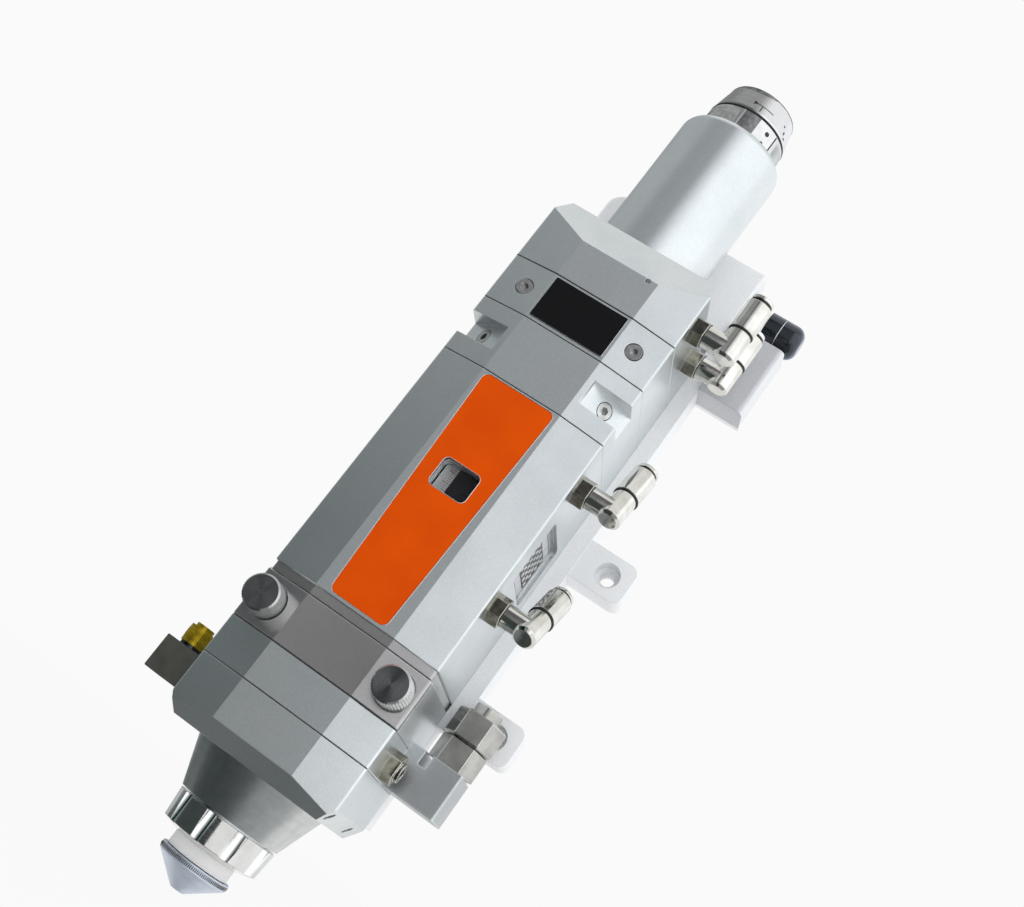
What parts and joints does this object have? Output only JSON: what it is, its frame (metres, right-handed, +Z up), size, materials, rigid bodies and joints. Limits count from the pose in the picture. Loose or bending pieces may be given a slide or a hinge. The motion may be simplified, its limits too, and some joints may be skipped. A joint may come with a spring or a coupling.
{
  "type": "laser cutting head",
  "caption": "Long upright cutting head of stacked metal blocks with a tube at the top, a cone and nozzle below, a window drawer, elbow fittings and lugs on the right.",
  "frame": {"origin": "on the rear mounting face, on the plane of the optical axis, midway between the two lugs", "axes": "+Z up along the optical axis towards the fibre, -Y towards the operator, +X to the fittings and lugs"},
  "size_m": [0.1331, 0.0891, 0.4128],
  "materials": {
    "anodised": "fine bead-blasted and clear anodised",
    "drawer_grey": "darker grey anodised",
    "inner_black": "black anodised",
    "orange_plate": "satin orange",
    "black_plate": "satin black",
    "clear_pane": "clear polycarbonate",
    "lens_glass": "coated fused silica",
    "seal_rubber": "black fluoro-rubber",
    "dark_steel": "dark socket screws",
    "thumb_steel": "turned, straight knurl",
    "rod_steel": "ground",
    "nut_bronze": "bronze",
    "motor_case": "black",
    "polished_steel": "polished",
    "nozzle_plate": "plated copper",
    "white_ceramic": "fine ground",
    "nickel": "nickel-plated brass",
    "stainless": "turned stainless",
    "black_plastic": "black moulded",
    "sensor_case": "dark grey",
    "gilt": "gilt"
  },
  "bodies": {
    "head": {"bottom_block": "anodised", "base_block": "anodised", "drawer_housing": "anodised", "main_housing": "anodised", "upper_block": "anodised", "clamp_block": "anodised", "top_cap": "anodised", "sensor_cone": "anodised", "gas_block": "anodised", "back_plate": "anodised", "collimator_tube": "anodised", "rear_cover": "anodised", "drive_box": "anodised", "seal_band": "drawer_grey", "collimator_cell": "inner_black", "collimator_ring": "inner_black", "label_plate": "orange_plate", "black_panel": "black_plate", "scale_window": "clear_pane", "side_window": "clear_pane", "collimator_lens": "lens_glass", "block_screws": "dark_steel", "plate_screws": "dark_steel", "guide_rods": "rod_steel", "drive_motor": "motor_case", "receptacle_base": "polished_steel", "fibre_socket": "polished_steel", "ceramic_ring": "white_ceramic", "fitting_stems": "nickel", "side_plug": "nickel", "gas_fitting": "stainless", "cable_connector": "black_plastic", "connector_insulator": "black_plastic", "sensor_block": "sensor_case", "sensor_connector": "gilt"},
    "drawer": {"drawer_cover": "drawer_grey", "drawer_frame": "inner_black", "protective_window": "lens_glass", "window_ring": "inner_black", "window_seal": "seal_rubber"},
    "left_thumb": {"thumb_screw_left": "thumb_steel"},
    "right_thumb": {"thumb_screw_right": "thumb_steel"},
    "carriage": {"focus_carriage": "inner_black", "focus_lens": "lens_glass", "focus_ring": "inner_black", "lead_nut": "nut_bronze"},
    "spindle": {"lead_screw": "rod_steel"},
    "retaining_nut": {"lock_nut": "polished_steel"},
    "tip": {"nozzle": "nozzle_plate"},
    "plug_lock": {"fibre_lock_ring": "polished_steel"},
    "hose_nut": {"gas_nut": "stainless"},
    "socket_cap": {"connector_cap": "black_plastic"},
    "high_elbow": {"elbow_high": "nickel"},
    "high_collar": {"collar_high": "nickel"},
    "low_elbow": {"elbow_low": "nickel"},
    "low_collar": {"collar_low": "nickel"},
    "cap_front_elbow": {"elbow_cap_front": "nickel"},
    "cap_front_collar": {"collar_cap_front": "nickel"},
    "cap_rear_elbow": {"elbow_cap_rear": "nickel"},
    "cap_rear_collar": {"collar_cap_rear": "nickel"}
  },
  "joints": [
    {"name": "drawer_slide", "type": "slide", "parent": "head", "child": "drawer", "axis": [0, -1, 0], "range_m": [0, 0.055]},
    {"name": "focus_slide", "type": "slide", "parent": "head", "child": "carriage", "axis": [0, 0, 1], "range_m": [-0.01, 0.01]},
    {"name": "spindle_turn", "type": "hinge", "parent": "head", "child": "spindle", "pos_m": [0.024, -0.024, 0], "axis": [0, 0, 1], "range_deg": [-1801, 1801]},
    {"name": "retaining_nut_turn", "type": "hinge", "parent": "head", "child": "retaining_nut", "pos_m": [0, -0.043, -0.133], "axis": [0, 0, 1], "continuous": true},
    {"name": "nozzle_turn", "type": "hinge", "parent": "head", "child": "tip", "pos_m": [0, -0.043, -0.15], "axis": [0, 0, 1], "continuous": true},
    {"name": "plug_lock_turn", "type": "hinge", "parent": "head", "child": "plug_lock", "pos_m": [0, -0.043, 0.248], "axis": [0, 0, 1], "range_deg": [0, 45]},
    {"name": "hose_nut_turn", "type": "hinge", "parent": "head", "child": "hose_nut", "pos_m": [0.0548, -0.0275, -0.045], "axis": [0, 0, 1], "continuous": true},
    {"name": "socket_cap_twist", "type": "hinge", "parent": "head", "child": "socket_cap", "pos_m": [0.065, -0.009, 0.1798], "axis": [1, 0, 0], "range_deg": [0, 90]},
    {"name": "left_thumb_turn", "type": "hinge", "parent": "drawer", "child": "left_thumb", "pos_m": [-0.03, -0.079, -0.05505], "axis": [0, -1, 0], "continuous": true},
    {"name": "right_thumb_turn", "type": "hinge", "parent": "drawer", "child": "right_thumb", "pos_m": [0.03, -0.079, -0.05505], "axis": [0, -1, 0], "continuous": true},
    {"name": "high_swivel", "type": "hinge", "parent": "head", "child": "high_elbow", "pos_m": [0.0555, -0.0663, 0.0501], "axis": [1, 0, 0], "continuous": true},
    {"name": "high_release", "type": "slide", "parent": "high_elbow", "child": "high_collar", "axis": [0, -0.3746, -0.9272], "range_m": [0, 0.0008], "stiffness_N_per_m": 600},
    {"name": "low_swivel", "type": "hinge", "parent": "head", "child": "low_elbow", "pos_m": [0.0555, -0.0656, -0.007], "axis": [1, 0, 0], "continuous": true},
    {"name": "low_release", "type": "slide", "parent": "low_elbow", "child": "low_collar", "axis": [0, -0.5878, -0.809], "range_m": [0, 0.0008], "stiffness_N_per_m": 600},
    {"name": "cap_front_swivel", "type": "hinge", "parent": "head", "child": "cap_front_elbow", "pos_m": [0.0555, -0.0682, 0.1333], "axis": [1, 0, 0], "range_deg": [-30, 180]},
    {"name": "cap_front_release", "type": "slide", "parent": "cap_front_elbow", "child": "cap_front_collar", "axis": [0, 0, -1], "range_m": [0, 0.0008], "stiffness_N_per_m": 600},
    {"name": "cap_rear_swivel", "type": "hinge", "parent": "head", "child": "cap_rear_elbow", "pos_m": [0.0555, -0.039, 0.1335], "axis": [1, 0, 0], "range_deg": [-25, 35]},
    {"name": "cap_rear_release", "type": "slide", "parent": "cap_rear_elbow", "child": "cap_rear_collar", "axis": [0, 0, -1], "range_m": [0, 0.0008], "stiffness_N_per_m": 600}
  ],
  "couplings": [
    {"joint": "spindle_turn", "follows": "focus_slide", "rad_per_m": 3141.6}
  ]
}
